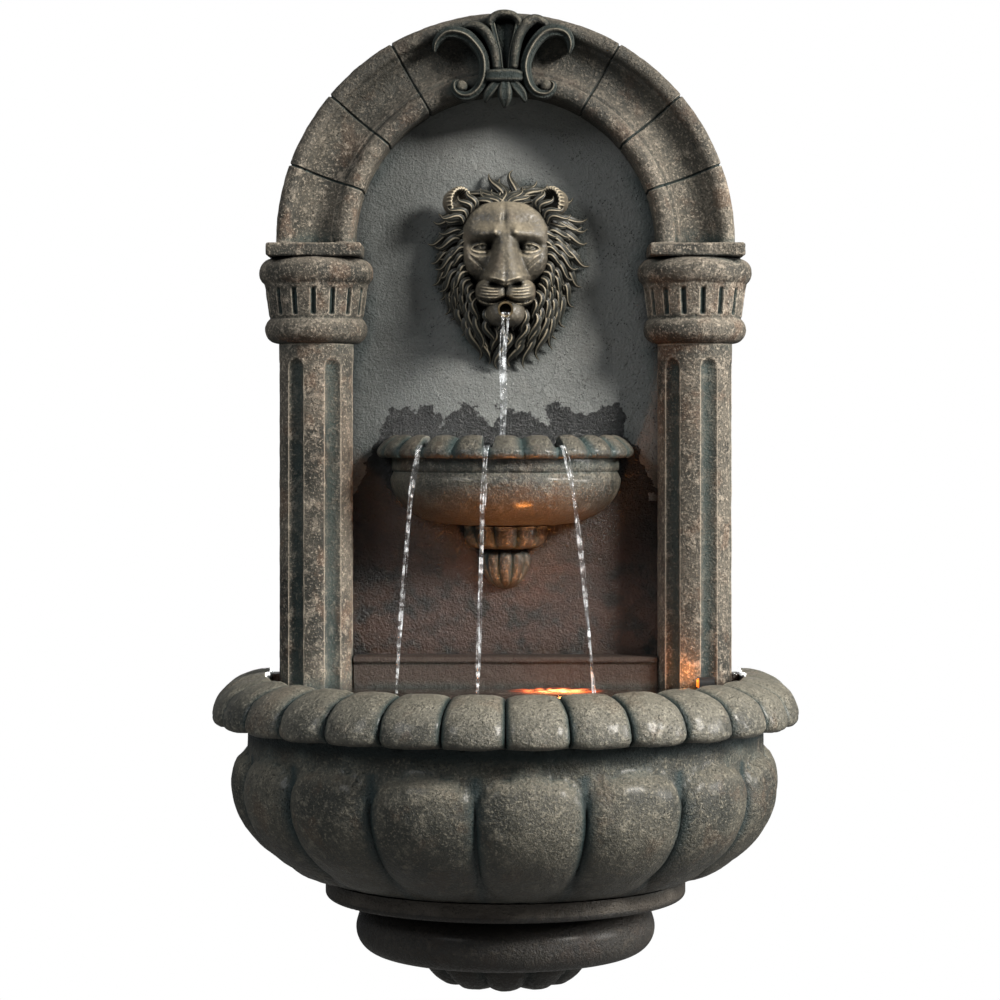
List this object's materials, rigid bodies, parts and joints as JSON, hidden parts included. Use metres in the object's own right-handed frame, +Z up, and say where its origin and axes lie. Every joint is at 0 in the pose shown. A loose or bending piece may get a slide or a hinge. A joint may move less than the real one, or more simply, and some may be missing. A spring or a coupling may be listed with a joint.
{
  "type": "wall fountain",
  "caption": "Wall-hung garden fountain: arched niche with columns, a lion mask spout, a small bowl on a corbel and a wide gadrooned basin with a pump.",
  "frame": {"origin": "midway between the round parts of the two keyholes, on the plane of the wall", "axes": "+Z up, the front faces -Y, +X to the right as seen from the front"},
  "size_m": [0.5, 0.3039, 0.824],
  "materials": {
    "cast_panel": "matt slate-grey cast resin with pale specks",
    "cast_arch": "matt cast resin, aged bronze paint with verdigris in the hollows",
    "cast_basin": "cast resin, dark aged bronze, wet at the rim",
    "cast_foot": "cast resin, dark aged bronze",
    "cast_lion": "cast resin, bronze paint with pale dry-brushed ridges",
    "spout_brass": "tarnished brass",
    "black_plastic": "black moulded plastic",
    "dial_plastic": "grey moulded plastic",
    "rotor": "white moulded plastic over a magnet",
    "shaft_ceramic": "ground white ceramic",
    "soft_rubber": "black rubber",
    "clear_tube": "milky clear flexible tube",
    "zinc_steel": "zinc-plated steel",
    "lamp_lens": "amber lens"
  },
  "bodies": {
    "fountain": {"back_panel": "cast_panel", "niche_sill": "cast_panel", "column_left": "cast_arch", "column_right": "cast_arch", "capital_left": "cast_arch", "capital_right": "cast_arch", "arch_moulding": "cast_arch", "crest": "cast_lion", "lion_mask": "cast_lion", "spout": "spout_brass", "spout_elbow": "black_plastic", "upper_bowl": "cast_basin", "upper_rim": "cast_arch", "corbel": "cast_basin", "basin_bowl": "cast_basin", "basin_rim": "cast_basin", "base_ring": "cast_foot", "base_torus": "cast_foot", "base_finial": "cast_foot", "riser_tube": "clear_tube", "hose_clamps": "zinc_steel", "tube_clips": "black_plastic", "pump_housing": "black_plastic", "pump_cover": "black_plastic", "pump_strainer": "black_plastic", "outlet_nozzle": "black_plastic", "impeller_shaft": "shaft_ceramic", "suction_cups": "soft_rubber", "pump_screws": "zinc_steel", "pool_lamp_housing": "black_plastic", "pool_lamp_lens": "lamp_lens", "side_lamp_housing": "black_plastic", "side_lamp_lens": "lamp_lens", "side_lamp_pad": "soft_rubber", "hanger_plates": "zinc_steel", "hanger_screws": "zinc_steel", "cable_grommet": "soft_rubber"},
    "rotor": {"impeller": "rotor"},
    "dial": {"flow_dial": "dial_plastic"}
  },
  "joints": [
    {"name": "impeller_spin", "type": "hinge", "parent": "fountain", "child": "rotor", "pos_m": [0, -0.047, -0.514], "axis": [1, 0, 0], "continuous": true},
    {"name": "flow_dial_turn", "type": "hinge", "parent": "fountain", "child": "dial", "pos_m": [-0.031, -0.047, -0.514], "axis": [-1, 0, 0], "range_deg": [0, 90]}
  ]
}
